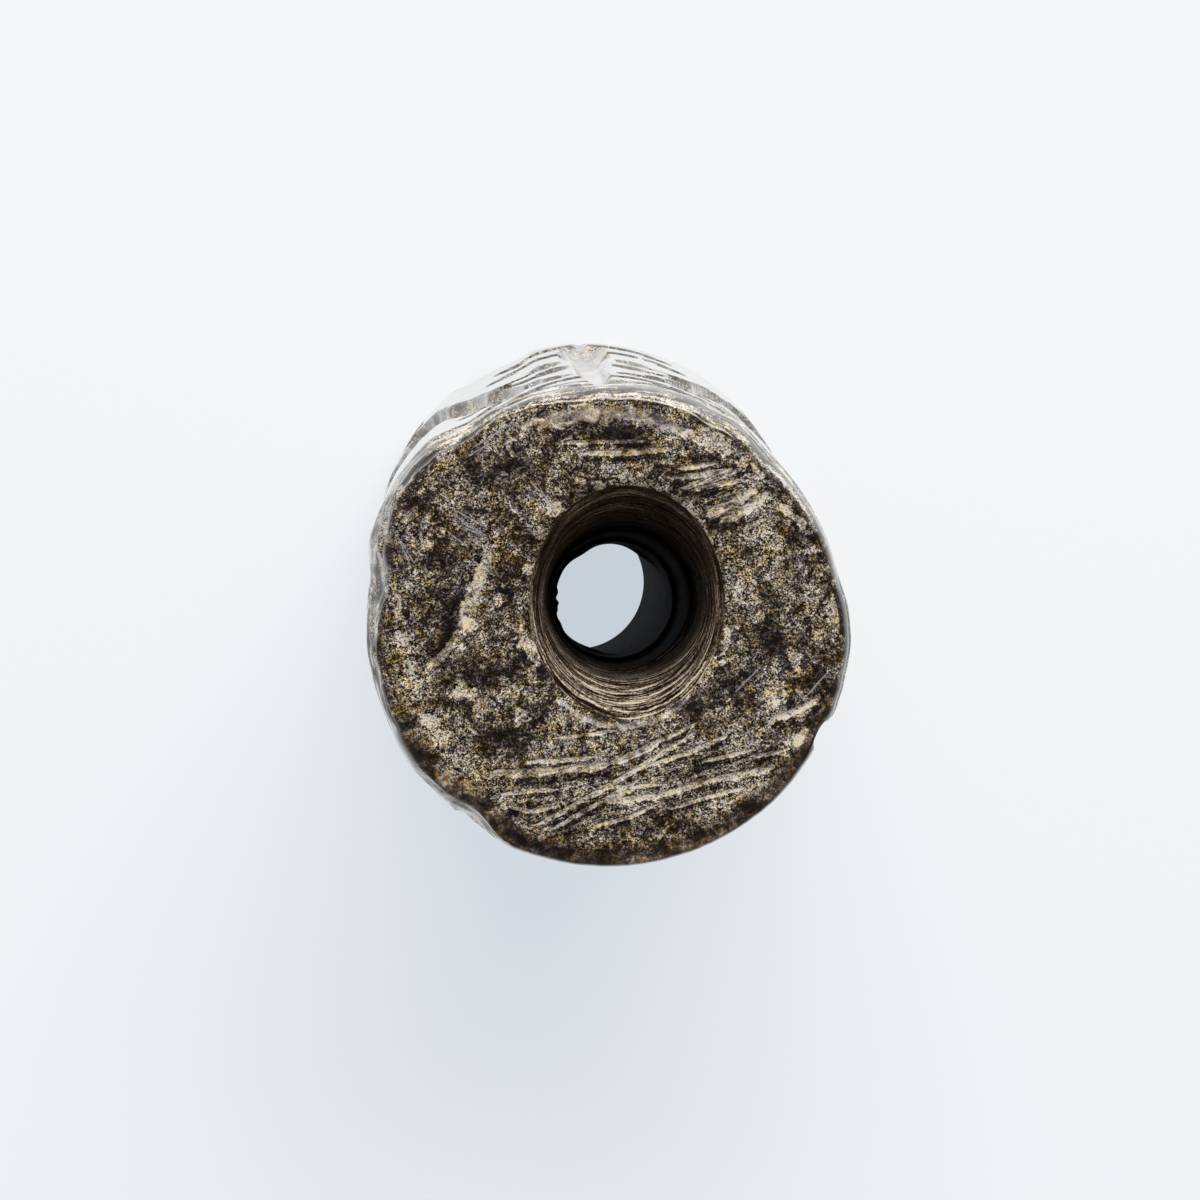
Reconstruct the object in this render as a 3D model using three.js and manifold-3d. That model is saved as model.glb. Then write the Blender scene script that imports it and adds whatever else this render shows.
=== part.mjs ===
// A cylinder seal: a drum of dark veined stone, bored from both ends, with a frieze sunk into its wall.
// The seal stands on its lower end. Millimetres, +Z up, origin at the middle of the lower end.
import * as THREE from "three";
import { mergeVertices } from "three/addons/utils/BufferGeometryUtils.js";
import Module from "manifold-3d";

const wasm = await Module();
wasm.setup();

// The drum
const SEAL_HEIGHT = 35;
const SEAL_DIAMETER = 22;
const FOOT_RIM_ROUNDING = 0.45;
const WAIST_HOLLOW = 0.1; // how far the wall draws in at mid height
const SEAL_RADIUS = SEAL_DIAMETER / 2;

// Each end is a little off round. A lobe lies half its spread either side of its angle and fades
// over the rest of it, in degrees, and rises in millimetres.
const UPPER_LOBES = [
  { angle: 148, spread: 24, rise: 0.58 },
  { angle: 30, spread: 30, rise: -0.38 },
  { angle: 228, spread: 25, rise: 0.12 },
  { angle: 348, spread: 14, rise: 0.1 },
];
const FOOT_LOBES = [{ angle: 117, spread: 13, rise: -0.25 }];

// How far wear has drawn the flat of the upper end in from the wall: angle in degrees, then millimetres.
const RIM_INSETS = [
  [0, 0.55],
  [20, 0.4],
  [42, 0.7],
  [64, 0.95],
  [74, 0.7],
  [100, 0.8],
  [108, 0.5],
  [120, 0.45],
  [132, 0.85],
  [150, 0.58],
  [162, 1.3],
  [168, 1.2],
  [182, 0.65],
  [200, 0.6],
  [226, 0.75],
  [232, 1.1],
  [237, 1.05],
  [243, 0.35],
  [250, 0.27],
  [316, 0.27],
  [332, 0.58],
  [344, 0.6],
];
const RIM_DROP = 2.5; // the rim's rounding reaches this many times its inset down the wall

// The bore, drilled from each end until the two holes met. Offsets are from the drum's axis.
const MOUTH_WIDTH = 8.8;
const MOUTH_LENGTH = 10.6; // the cord has worn the mouth longer one way
const MOUTH_OFFSET = [0.82, 1.09];
const THROAT_DIAMETER = 7.4;
const THROAT_DEPTH = 3;
const THROAT_OFFSET = [0.83, 0.95];
const WAIST_DIAMETER = 5.46;
const WAIST_OFFSET = [0.67, -0.6];
const WAIST_HEIGHT = 17.5;
const FOOT_MOUTH_DIAMETER = 6.9;
const FOOT_MOUTH_OFFSET = [-0.46, -1.55];
const BORE_SIDES = 36;
const BORE_OVERRUN = 1; // how far each drilling reaches past the face it starts from

// The cuts of the frieze. Places and lengths along the wall are shares of the seal's height.
const BODY_DEPTH = 1.15;
const LIMB_DEPTH = 0.62;
const LINE_DEPTH = 0.45;
const DOT_DEPTH = 0.6;
const TREE_ANGLE = 92;
const STANDARD_ANGLE = 272;
const GOAT_FROM_TREE = 37; // degrees round the wall
const FILLER_ANGLES = [2, 182];

const DRUM_SIDES = 44;
const DEGREES = Math.PI / 180;

// The rise of the lobes at an angle in degrees.
function lobed(lobes, angle) {
  let rise = 0;
  for (const lobe of lobes) {
    const away = Math.abs(((angle - lobe.angle + 540) % 360) - 180);
    const share = THREE.MathUtils.smoothstep(lobe.spread - away, 0, lobe.spread / 2);
    rise += lobe.rise * share;
  }
  return rise;
}

function wallRadius(angle, height) {
  const up = height / SEAL_HEIGHT;
  const offRound = up * lobed(UPPER_LOBES, angle) + (1 - up) * lobed(FOOT_LOBES, angle);
  return SEAL_RADIUS - WAIST_HOLLOW * Math.sin(Math.PI * up) + offRound;
}

// The upper rim's inset at an angle in degrees, with straight runs between the places in the list.
function rimInset(angle) {
  const turned = ((angle % 360) + 360) % 360;
  const after = RIM_INSETS.findIndex(([place]) => place > turned);
  const next = after < 0 ? [360, RIM_INSETS[0][1]] : RIM_INSETS[after];
  const last = RIM_INSETS.at(after < 0 ? -1 : after - 1);
  return last[1] + ((next[1] - last[1]) * (turned - last[0])) / (next[0] - last[0]);
}

// A closed geometry as a solid: only its places are kept, and corners that meet become one.
function solidFrom(geometry) {
  const bare = geometry.clone();
  bare.deleteAttribute("normal");
  bare.deleteAttribute("uv");
  const merged = mergeVertices(bare, 1e-4);
  const corners = merged.index.array;
  const kept = [];
  for (let i = 0; i < corners.length; i += 3) {
    const [a, b, c] = corners.slice(i, i + 3);
    if (a !== b && b !== c && c !== a) kept.push(a, b, c);
  }
  return new wasm.Manifold(
    new wasm.Mesh({
      numProp: 3,
      vertProperties: new Float32Array(merged.attributes.position.array),
      triVerts: new Uint32Array(kept),
    })
  );
}

function geometryFrom(solid) {
  const mesh = solid.getMesh();
  const geometry = new THREE.BufferGeometry();
  geometry.setAttribute("position", new THREE.BufferAttribute(mesh.vertProperties, 3));
  geometry.setIndex(new THREE.BufferAttribute(mesh.triVerts, 1));
  geometry.computeVertexNormals();
  return geometry;
}

// The rings of a quarter round between a flat end and the wall, from the end to the wall. Each ring
// says where it is at an angle: its radius and how far it is down from the end.
function roundedRim(endHeight, inset, drop) {
  const steps = 3;
  const rings = [];
  for (let step = 0; step <= steps; step += 1) {
    const turn = (step / steps) * 90 * DEGREES;
    rings.push((angle) => ({
      radius: wallRadius(angle, endHeight) - inset(angle) * (1 - Math.sin(turn)),
      down: drop(angle) * (1 - Math.cos(turn)),
    }));
  }
  return rings;
}

// The drum before it is drilled and carved: rings from the middle of the foot to the middle of the top.
function drum() {
  const foot = roundedRim(0, () => FOOT_RIM_ROUNDING, () => FOOT_RIM_ROUNDING);
  const top = roundedRim(SEAL_HEIGHT, rimInset, (angle) => RIM_DROP * rimInset(angle)).reverse();
  const waist = { height: SEAL_HEIGHT / 2 };
  const rings = [
    () => ({ radius: 0, height: 0 }),
    ...foot.map((ring) => (angle) => ({ radius: ring(angle).radius, height: ring(angle).down })),
    (angle) => ({ radius: wallRadius(angle, waist.height), ...waist }),
    ...top.map((ring) => (angle) => ({ radius: ring(angle).radius, height: SEAL_HEIGHT - ring(angle).down })),
    () => ({ radius: 0, height: SEAL_HEIGHT }),
  ];
  const across = (ring) => (ring === 0 || ring === rings.length - 1 ? 0 : 1);
  const profile = rings.map((_, ring) => new THREE.Vector2(across(ring), ring));
  const geometry = new THREE.LatheGeometry(profile, DRUM_SIDES);
  geometry.rotateX(90 * DEGREES);
  const places = geometry.attributes.position;
  for (let i = 0; i < places.count; i += 1) {
    const around = Math.atan2(places.getY(i), places.getX(i));
    const { radius, height } = rings[Math.round(places.getZ(i))](around / DEGREES);
    places.setXYZ(i, radius * Math.cos(around), radius * Math.sin(around), height);
  }
  return solidFrom(geometry);
}

// One drilling as a stack of ovals. Each station gives its height, its middle and its two half widths.
function drilling(stations) {
  const profile = [new THREE.Vector2(0, 0)];
  stations.forEach((_, ring) => profile.push(new THREE.Vector2(1, ring)));
  profile.push(new THREE.Vector2(0, stations.length - 1));
  const geometry = new THREE.LatheGeometry(profile, BORE_SIDES);
  geometry.rotateX(90 * DEGREES);
  const places = geometry.attributes.position;
  for (let i = 0; i < places.count; i += 1) {
    const { height, middle, halfWidths } = stations[Math.round(places.getZ(i))];
    const x = middle[0] + places.getX(i) * halfWidths[0];
    const y = middle[1] + places.getY(i) * halfWidths[1];
    places.setXYZ(i, x, y, height);
  }
  return solidFrom(geometry);
}

function round(diameter) {
  return [diameter / 2, diameter / 2];
}

// The upper drilling opens from the waist to the throat, then flares to the worn mouth.
function upperDrilling() {
  const mouth = { middle: MOUTH_OFFSET, halfWidths: [MOUTH_WIDTH / 2, MOUTH_LENGTH / 2] };
  return drilling([
    { height: WAIST_HEIGHT - BORE_OVERRUN, middle: WAIST_OFFSET, halfWidths: round(WAIST_DIAMETER) },
    { height: WAIST_HEIGHT, middle: WAIST_OFFSET, halfWidths: round(WAIST_DIAMETER) },
    { height: SEAL_HEIGHT - THROAT_DEPTH, middle: THROAT_OFFSET, halfWidths: round(THROAT_DIAMETER) },
    { height: SEAL_HEIGHT, ...mouth },
    { height: SEAL_HEIGHT + BORE_OVERRUN, ...mouth },
  ]);
}

function lowerDrilling() {
  const foot = { middle: FOOT_MOUTH_OFFSET, halfWidths: round(FOOT_MOUTH_DIAMETER) };
  return drilling([
    { height: -BORE_OVERRUN, ...foot },
    { height: 0, ...foot },
    { height: WAIST_HEIGHT, middle: WAIST_OFFSET, halfWidths: round(WAIST_DIAMETER) },
  ]);
}

// One cut of the engraver's wheel or drill: an oval bowl sunk into the wall.
// Its middle is at angle and height, and turn leans its long side up from the level.
function bowl({ angle, height, halfLength, halfWidth, depth, turn = 0, sides = 6, rings = 3 }) {
  const geometry = new THREE.SphereGeometry(1, sides, rings);
  const places = geometry.attributes.position;
  const cos = Math.cos(turn * DEGREES);
  const sin = Math.sin(turn * DEGREES);
  for (let i = 0; i < places.count; i += 1) {
    const along = places.getY(i) * halfLength;
    const across = places.getZ(i) * halfWidth;
    const out = places.getX(i) * depth;
    const z = height + along * sin + across * cos;
    const around = angle * DEGREES + (along * cos - across * sin) / SEAL_RADIUS;
    const radius = wallRadius(around / DEGREES, z) + out;
    places.setXYZ(i, radius * Math.cos(around), radius * Math.sin(around), z);
  }
  return solidFrom(geometry);
}

// A figure's own drawing board: shares of the seal's height, with x to the right of its middle.
// facing is 1 as drawn and -1 turned round.
function board(angle, facing = 1) {
  const place = (x, z) => ({
    angle: angle + (facing * x * SEAL_HEIGHT) / SEAL_RADIUS / DEGREES,
    height: z * SEAL_HEIGHT,
  });
  const oval = (x, z, halfLength, halfWidth, depth, lean, fineness = {}) =>
    bowl({
      ...place(x, z),
      halfLength: halfLength * SEAL_HEIGHT,
      halfWidth: halfWidth * SEAL_HEIGHT,
      depth,
      turn: facing > 0 ? lean : 180 - lean,
      ...fineness,
    });
  const stroke = (x0, z0, x1, z1, width, depth = LIMB_DEPTH) => {
    const reach = Math.hypot(x1 - x0, z1 - z0) / 2 + width / 2;
    const lean = Math.atan2(z1 - z0, x1 - x0) / DEGREES;
    return oval((x0 + x1) / 2, (z0 + z1) / 2, reach, width / 2, depth, lean);
  };
  const dot = (x, z, radius) => oval(x, z, radius, radius, DOT_DEPTH, 0);
  return { oval, stroke, dot };
}

// A tree: a trunk, broad at its foot, with pairs of rising branches, each ending in a bud.
// trunkReach is half the trunk's length, and past a half it runs out through the rims.
function tree(angle, trunkReach, pairs) {
  const { oval, stroke, dot } = board(angle);
  const rise = 0.07;
  const cuts = [
    oval(0, 0.5, trunkReach, 0.023, LIMB_DEPTH, 90, { rings: 7 }),
    oval(0, 0.24, 0.2, 0.036, LIMB_DEPTH * 1.3, 90, { rings: 5 }),
  ];
  for (const side of [-1, 1]) {
    for (const [height, reach] of pairs) {
      cuts.push(stroke(side * 0.015, height, side * reach, height + rise, 0.036));
      cuts.push(dot(side * (reach + 0.012), height + rise + 0.028, 0.022));
    }
  }
  return cuts;
}

// A goat reared up on its hind legs, drawn with its head and forelegs to the left.
function goat(angle, facing) {
  const { oval, stroke, dot } = board(angle, facing);
  const body = { sides: 10, rings: 5 };
  const limb = 0.036;
  return [
    // belly, haunch and chest
    oval(0.035, 0.405, 0.15, 0.072, BODY_DEPTH, 116, body),
    oval(0.085, 0.29, 0.08, 0.074, BODY_DEPTH * 1.05, 100, body),
    oval(-0.02, 0.515, 0.08, 0.07, BODY_DEPTH, 95, body),
    // neck, head and muzzle
    oval(-0.05, 0.645, 0.11, 0.044, BODY_DEPTH * 0.75, 110, { rings: 4 }),
    oval(-0.105, 0.755, 0.062, 0.036, BODY_DEPTH * 0.7, 28, { rings: 4 }),
    dot(-0.152, 0.728, 0.019),
    // forelegs
    stroke(-0.05, 0.555, -0.135, 0.6, limb),
    stroke(-0.135, 0.6, -0.16, 0.52, limb),
    stroke(-0.045, 0.485, -0.13, 0.475, limb),
    stroke(-0.13, 0.475, -0.15, 0.395, limb),
    // hind legs
    oval(0.065, 0.225, 0.062, 0.038, LIMB_DEPTH * 1.3, 78),
    stroke(0.055, 0.175, 0.1, 0.12, limb),
    stroke(0.1, 0.12, 0.075, 0.04, limb),
    oval(0.125, 0.22, 0.06, 0.034, LIMB_DEPTH * 1.2, 96),
    stroke(0.13, 0.175, 0.17, 0.12, limb),
    stroke(0.17, 0.12, 0.15, 0.04, limb),
    // tail, ear and beard
    stroke(0.125, 0.335, 0.165, 0.39, 0.03, LINE_DEPTH),
    stroke(-0.065, 0.755, -0.02, 0.735, 0.03, LINE_DEPTH),
    stroke(-0.125, 0.72, -0.115, 0.68, 0.022, LINE_DEPTH),
    ...horn(stroke),
  ];
}

// The goat's horn, swept back over its shoulder in short strokes of one arc.
function horn(stroke) {
  const middle = [0.015, 0.8];
  const sweep = 0.098;
  const first = 175;
  const last = 25;
  const pieces = 4;
  const point = (share) => {
    const turn = (first + (last - first) * share) * DEGREES;
    return [middle[0] + sweep * Math.cos(turn), middle[1] + sweep * Math.sin(turn)];
  };
  const cuts = [];
  for (let piece = 0; piece < pieces; piece += 1) {
    const width = 0.042 - 0.005 * piece;
    cuts.push(stroke(...point(piece / pieces), ...point((piece + 1) / pieces), width, LINE_DEPTH * 1.2));
  }
  return cuts;
}

// A star over a crescent and a column of drill holes, between the backs of two goats.
function filler(angle) {
  const { oval, stroke, dot } = board(angle);
  const cuts = [];
  const rays = 3;
  for (let ray = 0; ray < rays; ray += 1) {
    cuts.push(oval(0, 0.84, 0.065, 0.016, LINE_DEPTH, 90 + (ray * 180) / rays));
  }
  const crescentPieces = 4;
  const crescentPoint = (share) => {
    const turn = (200 + 140 * share) * DEGREES;
    return [0.062 * Math.cos(turn), 0.68 + 0.062 * Math.sin(turn)];
  };
  for (let piece = 0; piece < crescentPieces; piece += 1) {
    const [from, to] = [piece, piece + 1].map((end) => crescentPoint(end / crescentPieces));
    cuts.push(stroke(...from, ...to, 0.032, LINE_DEPTH));
  }
  for (const height of [0.12, 0.21, 0.3, 0.39]) cuts.push(dot(0, height, 0.022));
  return cuts;
}

function frieze() {
  const treePairs = [
    [0.06, 0.1],
    [0.2, 0.115],
    [0.8, 0.08],
  ];
  const standardPairs = [
    [0.12, 0.1],
    [0.8, 0.075],
  ];
  return [
    ...tree(TREE_ANGLE, 0.52, treePairs),
    ...tree(STANDARD_ANGLE, 0.44, standardPairs),
    ...[TREE_ANGLE, STANDARD_ANGLE].flatMap((middle) => [
      ...goat(middle + GOAT_FROM_TREE, 1),
      ...goat(middle - GOAT_FROM_TREE, -1),
    ]),
    ...FILLER_ANGLES.flatMap(filler),
  ];
}

// Old breaks in the two rims. Widths run round the wall, heights down it, and depths in from it.
function chips() {
  const broad = { sides: 10, rings: 5 };
  const topChips = [{ angle: 333, width: 1.1, height: 7, depth: 0.6 }];
  const footChips = [
    { angle: 73, width: 3, height: 1.6, depth: 0.45 },
    { angle: 205, width: 5, height: 2.6, depth: 0.8 },
    { angle: 300, width: 3.4, height: 1.8, depth: 0.6 },
  ];
  const cut = (endHeight) => (chip) =>
    bowl({
      angle: chip.angle,
      height: endHeight,
      halfLength: chip.width / 2,
      halfWidth: chip.height / 2,
      depth: chip.depth,
      ...broad,
    });
  return [...topChips.map(cut(SEAL_HEIGHT)), ...footChips.map(cut(0))];
}

function seal() {
  const cutters = [upperDrilling(), lowerDrilling(), ...frieze(), ...chips()];
  const stone = new THREE.MeshStandardMaterial({ color: 0x3b332b, roughness: 0.55, metalness: 0 });
  const solid = drum().subtract(wasm.Manifold.union(cutters));
  const mesh = new THREE.Mesh(geometryFrom(solid), stone);
  mesh.name = "seal";
  return mesh;
}

const part = new THREE.Group();
part.add(seal());

export default part;
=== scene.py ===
import math

import bmesh
import bpy
import numpy as np
from mathutils import Matrix, Vector, noise


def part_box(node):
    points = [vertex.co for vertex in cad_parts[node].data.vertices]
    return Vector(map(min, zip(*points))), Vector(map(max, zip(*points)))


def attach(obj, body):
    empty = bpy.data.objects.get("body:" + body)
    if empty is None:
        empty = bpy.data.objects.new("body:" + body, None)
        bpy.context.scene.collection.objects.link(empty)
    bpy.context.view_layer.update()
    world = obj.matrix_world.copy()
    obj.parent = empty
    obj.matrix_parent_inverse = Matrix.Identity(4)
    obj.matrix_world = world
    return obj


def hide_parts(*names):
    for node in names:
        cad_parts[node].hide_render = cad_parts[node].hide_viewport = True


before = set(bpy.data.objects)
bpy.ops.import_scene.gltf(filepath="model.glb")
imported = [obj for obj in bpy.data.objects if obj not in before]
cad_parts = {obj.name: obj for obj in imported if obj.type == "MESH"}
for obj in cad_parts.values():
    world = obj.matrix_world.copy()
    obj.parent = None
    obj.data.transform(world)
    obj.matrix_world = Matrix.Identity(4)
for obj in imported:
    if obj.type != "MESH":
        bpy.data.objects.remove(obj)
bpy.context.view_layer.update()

# Lengths are in millimetres until a mesh is finished, and MM makes them metres.
MM = 0.001

# The drum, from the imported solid
LOW, HIGH = (np.array(corner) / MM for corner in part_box("seal"))
SEAL_HEIGHT = HIGH[2] - LOW[2]
SEAL_RADIUS = (HIGH[1] - LOW[1]) / 2
WAIST_HOLLOW = 0.1
FOOT_ROUNDING = 0.45

# Where each end is off round: middle angle and half spread in degrees, and rise in millimetres
UPPER_LOBES = ((148, 24, 0.58), (30, 30, -0.38), (228, 25, 0.12), (348, 14, 0.1))
FOOT_LOBES = ((117, 13, -0.25),)

# How far wear has drawn the flat of the upper end in from the wall: angle, then millimetres
RIM_INSETS = (
    (0, 0.55),
    (20, 0.4),
    (42, 0.7),
    (64, 0.95),
    (74, 0.7),
    (100, 0.8),
    (108, 0.5),
    (120, 0.45),
    (132, 0.85),
    (150, 0.58),
    (162, 1.3),
    (168, 1.2),
    (182, 0.65),
    (200, 0.6),
    (226, 0.75),
    (232, 1.1),
    (237, 1.05),
    (243, 0.35),
    (250, 0.27),
    (316, 0.27),
    (332, 0.45),
    (344, 0.6),
)

# The worn rim falls this much for each millimetre that it is drawn in. On the spun block it takes up
# the top RIM_SPAN, and the wall below makes up for that over RIM_SETTLES.
RIM_FALL = 3.6
RIM_SPAN = 1.0
RIM_SETTLES = 12.0

# Where the upper rim is broken and rough, and where a painted sheen makes it paler as if it caught the
# lamp and the pale room: middle angle, half spread and softness in degrees, then strength
RIM_BREAKS = ((165, 16, 6, 1), (232, 15, 6, 1), (141, 26, 6, 0.6), (190, 18, 6, 0.7))
PAINTED_SHEEN_RIMS = ((85, 70, 12, 1), (183, 26, 8, 1), (231, 20, 6, 1))

# Stripes that run along the breaks: how many, and how deep
STRIPES = 2.6
STRIPE_DEPTH = 0.17

# A crumb of stone below the upper rim: angle, how far down, reach and rise
RIM_CRUMB = (231, 2.6, 0.26, 0.19)

# The bore: heights with the middle of the hole and its half widths there
FLARE = 3
THROAT_HEIGHT = SEAL_HEIGHT - FLARE
WAIST_HEIGHT = SEAL_HEIGHT / 2
BORE_HEIGHTS = (0, WAIST_HEIGHT, THROAT_HEIGHT, SEAL_HEIGHT)
BORE_MIDDLE_X = (-0.46, 0.67, 0.83, 0.82)
BORE_MIDDLE_Y = (-1.55, -0.6, 0.95, 1.09)
BORE_HALF_X = (3.45, 2.73, 3.7, 4.4)
BORE_HALF_Y = (3.45, 2.73, 3.7, 5.3)

# Steps that the drill left: how far down each starts, is full and has died away, then its depth
DRILL_STEPS = ((7.4, 7.8, 13.6, 0.16), (13.6, 14.0, WAIST_HEIGHT, 0.14))

# Lumps left at the waist, where the two drillings met: angle and spread in degrees, and rise
WAIST_CRUMBS = (
    (122, 13, 0.12),
    (172, 5, 0.14),
    (183, 4, 0.2),
    (190, 4, 0.12),
    (205, 6, 0.07),
    (250, 24, 0.2),
    (55, 20, 0.18),
)

# How finely the stone's surface is divided. The neck is the wall's top NECK_SPAN below the rim.
NECK_SPAN = 4
TURNS = 400
FACE_RINGS = 62
RIM_RINGS = 24
NECK_RINGS = 16
WALL_RINGS = 84
FOOT_RIM_RINGS = 5
FOOT_RINGS = 8
FLARE_RINGS = 24

# The photograph's camera, in pixels of its 1200-pixel frame
PHOTO_SIDE = 1200
FOCAL_PX = 4730
AXIS_VANISHING_PX = (450, 100)
UPPER_END_PX = (609, 627.5)
PX_PER_MM = 22.25
SENSOR = 36

# Marks on the upper end, placed by pixels of the photograph. A scratch is the pixels it passes
# through, then its half width and its depth in millimetres.
SCRATCHES_PX = (
    (((561, 443), (611, 441)), 0.1, 0.03),
    (((600, 442), (648, 441)), 0.1, 0.03),
    (((576, 453), (620, 453), (661, 450), (677, 448)), 0.15, 0.05),
    (((677, 469), (716, 463)), 0.12, 0.05),
    (((670, 478), (704, 475), (736, 469)), 0.16, 0.06),
    (((679, 489), (710, 480), (743, 468)), 0.16, 0.06),
    (((690, 491), (720, 484), (751, 480)), 0.13, 0.05),
    (((705, 516), (733, 504), (759, 488)), 0.26, 0.08),
    (((719, 523), (748, 509), (771, 491)), 0.24, 0.08),
    (((492, 551), (484, 568), (476, 586), (468, 606), (461, 624)), 0.3, 0.07),
    (((461, 624), (453, 642), (443, 656), (426, 669)), 0.17, 0.05),
    (((474, 600), (465, 622), (459, 632)), 0.3, 0.04),
    (((507, 444), (514, 457)), 0.1, 0.03),
    (((490, 773), (522, 774), (560, 770)), 0.22, 0.08),
    (((556, 770), (588, 768), (612, 764)), 0.2, 0.07),
    (((608, 765), (634, 755), (661, 741)), 0.17, 0.06),
    (((524, 762), (560, 761), (600, 757)), 0.11, 0.05),
    (((552, 739), (586, 735), (620, 730)), 0.09, 0.03),
    (((533, 827), (572, 807), (618, 781), (658, 756), (697, 731)), 0.13, 0.06),
    (((548, 832), (590, 808), (640, 780)), 0.11, 0.05),
    (((560, 824), (605, 800), (636, 789)), 0.1, 0.05),
    (((600, 802), (630, 800), (661, 796)), 0.17, 0.06),
    (((655, 797), (684, 789), (711, 781)), 0.15, 0.06),
    (((705, 782), (742, 775), (776, 768)), 0.18, 0.07),
    (((597, 788), (632, 787), (669, 784)), 0.1, 0.04),
    (((645, 768), (690, 752), (730, 735)), 0.12, 0.05),
    (((640, 748), (672, 736), (700, 722)), 0.1, 0.04),
    (((700, 762), (730, 756), (752, 750)), 0.1, 0.04),
    (((750, 757), (782, 752)), 0.11, 0.04),
    (((765, 724), (792, 713), (819, 699)), 0.18, 0.06),
    (((657, 841), (669, 825)), 0.09, 0.03),
    (((501, 795), (530, 791), (560, 790)), 0.12, 0.05),
    (((505, 806), (532, 812), (560, 806)), 0.1, 0.04),
    (((590, 828), (628, 818), (660, 803)), 0.1, 0.05),
    (((668, 810), (712, 796), (746, 788)), 0.1, 0.04),
)

# Thin scratched hairlines, painted bright bluish grey as painted glints: their two ends
HAIRLINE_GLINTS_PX = (
    ((531, 482), (548, 500)),
    ((451, 514), (486, 535)),
    ((455, 510), (489, 529)),
    ((458, 521), (488, 536)),
    ((462, 527), (484, 536)),
    ((447, 531), (467, 547)),
    ((397, 535), (411, 567)),
    ((402, 543), (414, 563)),
    ((746, 727), (760, 753)),
    ((471, 449), (516, 421)),
    ((466, 458), (494, 441)),
    ((735, 693), (763, 664)),
    ((795, 690), (812, 708)),
    ((828, 672), (806, 697)),
)

# Patches of the stone's own colours: middle pixel, half width, half height, lean, strength and depth
CREAM_PX = (
    ((715, 441), 0.95, 0.5, -25, 1.0, 0.05),
    ((690, 436), 0.5, 0.3, -10, 0.8, 0.03),
    ((787, 512), 0.42, 0.32, -40, 1.0, 0.05),
    ((800, 520), 0.3, 0.35, 0, 0.8, 0.03),
    ((811, 551), 0.3, 0.3, 0, 0.8, 0.03),
    ((400, 637), 0.45, 0.3, -30, 1.0, 0.08),
    ((399, 612), 0.3, 0.6, 10, 0.7, 0.04),
    ((424, 487), 0.22, 0.22, 0, 1.0, 0.02),
    ((436, 488), 0.16, 0.16, 0, 1.0, 0.02),
    ((409, 516), 0.3, 0.2, 0, 0.9, 0.02),
    ((438, 531), 0.36, 0.3, 0, 0.9, 0.03),
    ((425, 524), 0.3, 0.22, 0, 0.8, 0.02),
    ((443, 507), 0.25, 0.2, 30, 0.6, 0.02),
    ((502, 474), 0.15, 0.15, 0, 0.8, 0.02),
    ((510, 441), 0.15, 0.15, 0, 0.7, 0.02),
    ((464, 649), 0.28, 0.14, -20, 0.8, 0.02),
    ((464, 692), 0.5, 0.3, -15, 1.0, 0.06),
    ((482, 705), 0.5, 0.45, 40, 1.0, 0.07),
    ((476, 716), 0.2, 0.25, 0, 0.8, 0.03),
    ((427, 722), 0.55, 0.3, 10, 0.9, 0.05),
    ((441, 737), 0.6, 0.35, 20, 0.95, 0.06),
    ((450, 716), 0.25, 0.2, 0, 0.6, 0.03),
    ((521, 717), 0.42, 0.4, -50, 1.0, 0.06),
    ((775, 697), 0.4, 0.45, 20, 1.0, 0.06),
    ((784, 716), 0.3, 0.3, 0, 0.8, 0.03),
    ((814, 699), 0.3, 0.3, 20, 0.9, 0.04),
    ((802, 713), 0.5, 0.3, 30, 0.9, 0.04),
    ((835, 615), 0.4, 1.0, 0, 0.75, 0.03),
    ((796, 662), 0.25, 0.5, 20, 0.7, 0.03),
    ((800, 738), 0.5, 0.35, 30, 0.7, 0.03),
    ((790, 745), 0.4, 0.3, 0, 0.6, 0.03),
    ((601, 487), 0.42, 0.28, 10, 1.0, 0.04),
    ((557, 508), 0.35, 0.3, 30, 0.9, 0.04),
    ((528, 568), 0.35, 0.3, 40, 0.7, 0.03),
    ((524, 638), 0.3, 0.6, 10, 1.0, 0.05),
    ((532, 655), 0.3, 0.7, 20, 0.9, 0.04),
    ((533, 675), 0.25, 0.4, 30, 0.8, 0.03),
    ((729, 638), 0.25, 0.95, -18, 0.9, 0.04),
    ((715, 665), 0.25, 0.5, -40, 0.7, 0.03),
    ((690, 512), 0.7, 0.32, -35, 0.85, 0.04),
    ((708, 540), 0.25, 0.5, 25, 0.7, 0.03),
    ((760, 470), 0.6, 0.35, -30, 0.7, 0.03),
    ((740, 462), 0.4, 0.25, 0, 0.6, 0.03),
    ((470, 625), 0.3, 0.5, -20, 0.7, 0.02),
    ((498, 600), 0.25, 0.4, -15, 0.6, 0.02),
    ((424, 545), 0.35, 0.4, 0, 0.6, 0.02),
    ((418, 575), 0.3, 0.35, 0, 0.5, 0.02),
    ((560, 425), 0.5, 0.2, 15, 0.8, 0.02),
    ((575, 405), 0.5, 0.18, 12, 0.9, 0.02),
    ((540, 420), 0.3, 0.2, 25, 0.6, 0.02),
    ((618, 745), 0.3, 0.22, 0, 0.5, 0.03),
    ((624, 760), 0.3, 0.18, 0, 0.5, 0.02),
    ((600, 690), 0.2, 0.2, 0, 0.3, 0.0),
)
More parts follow.
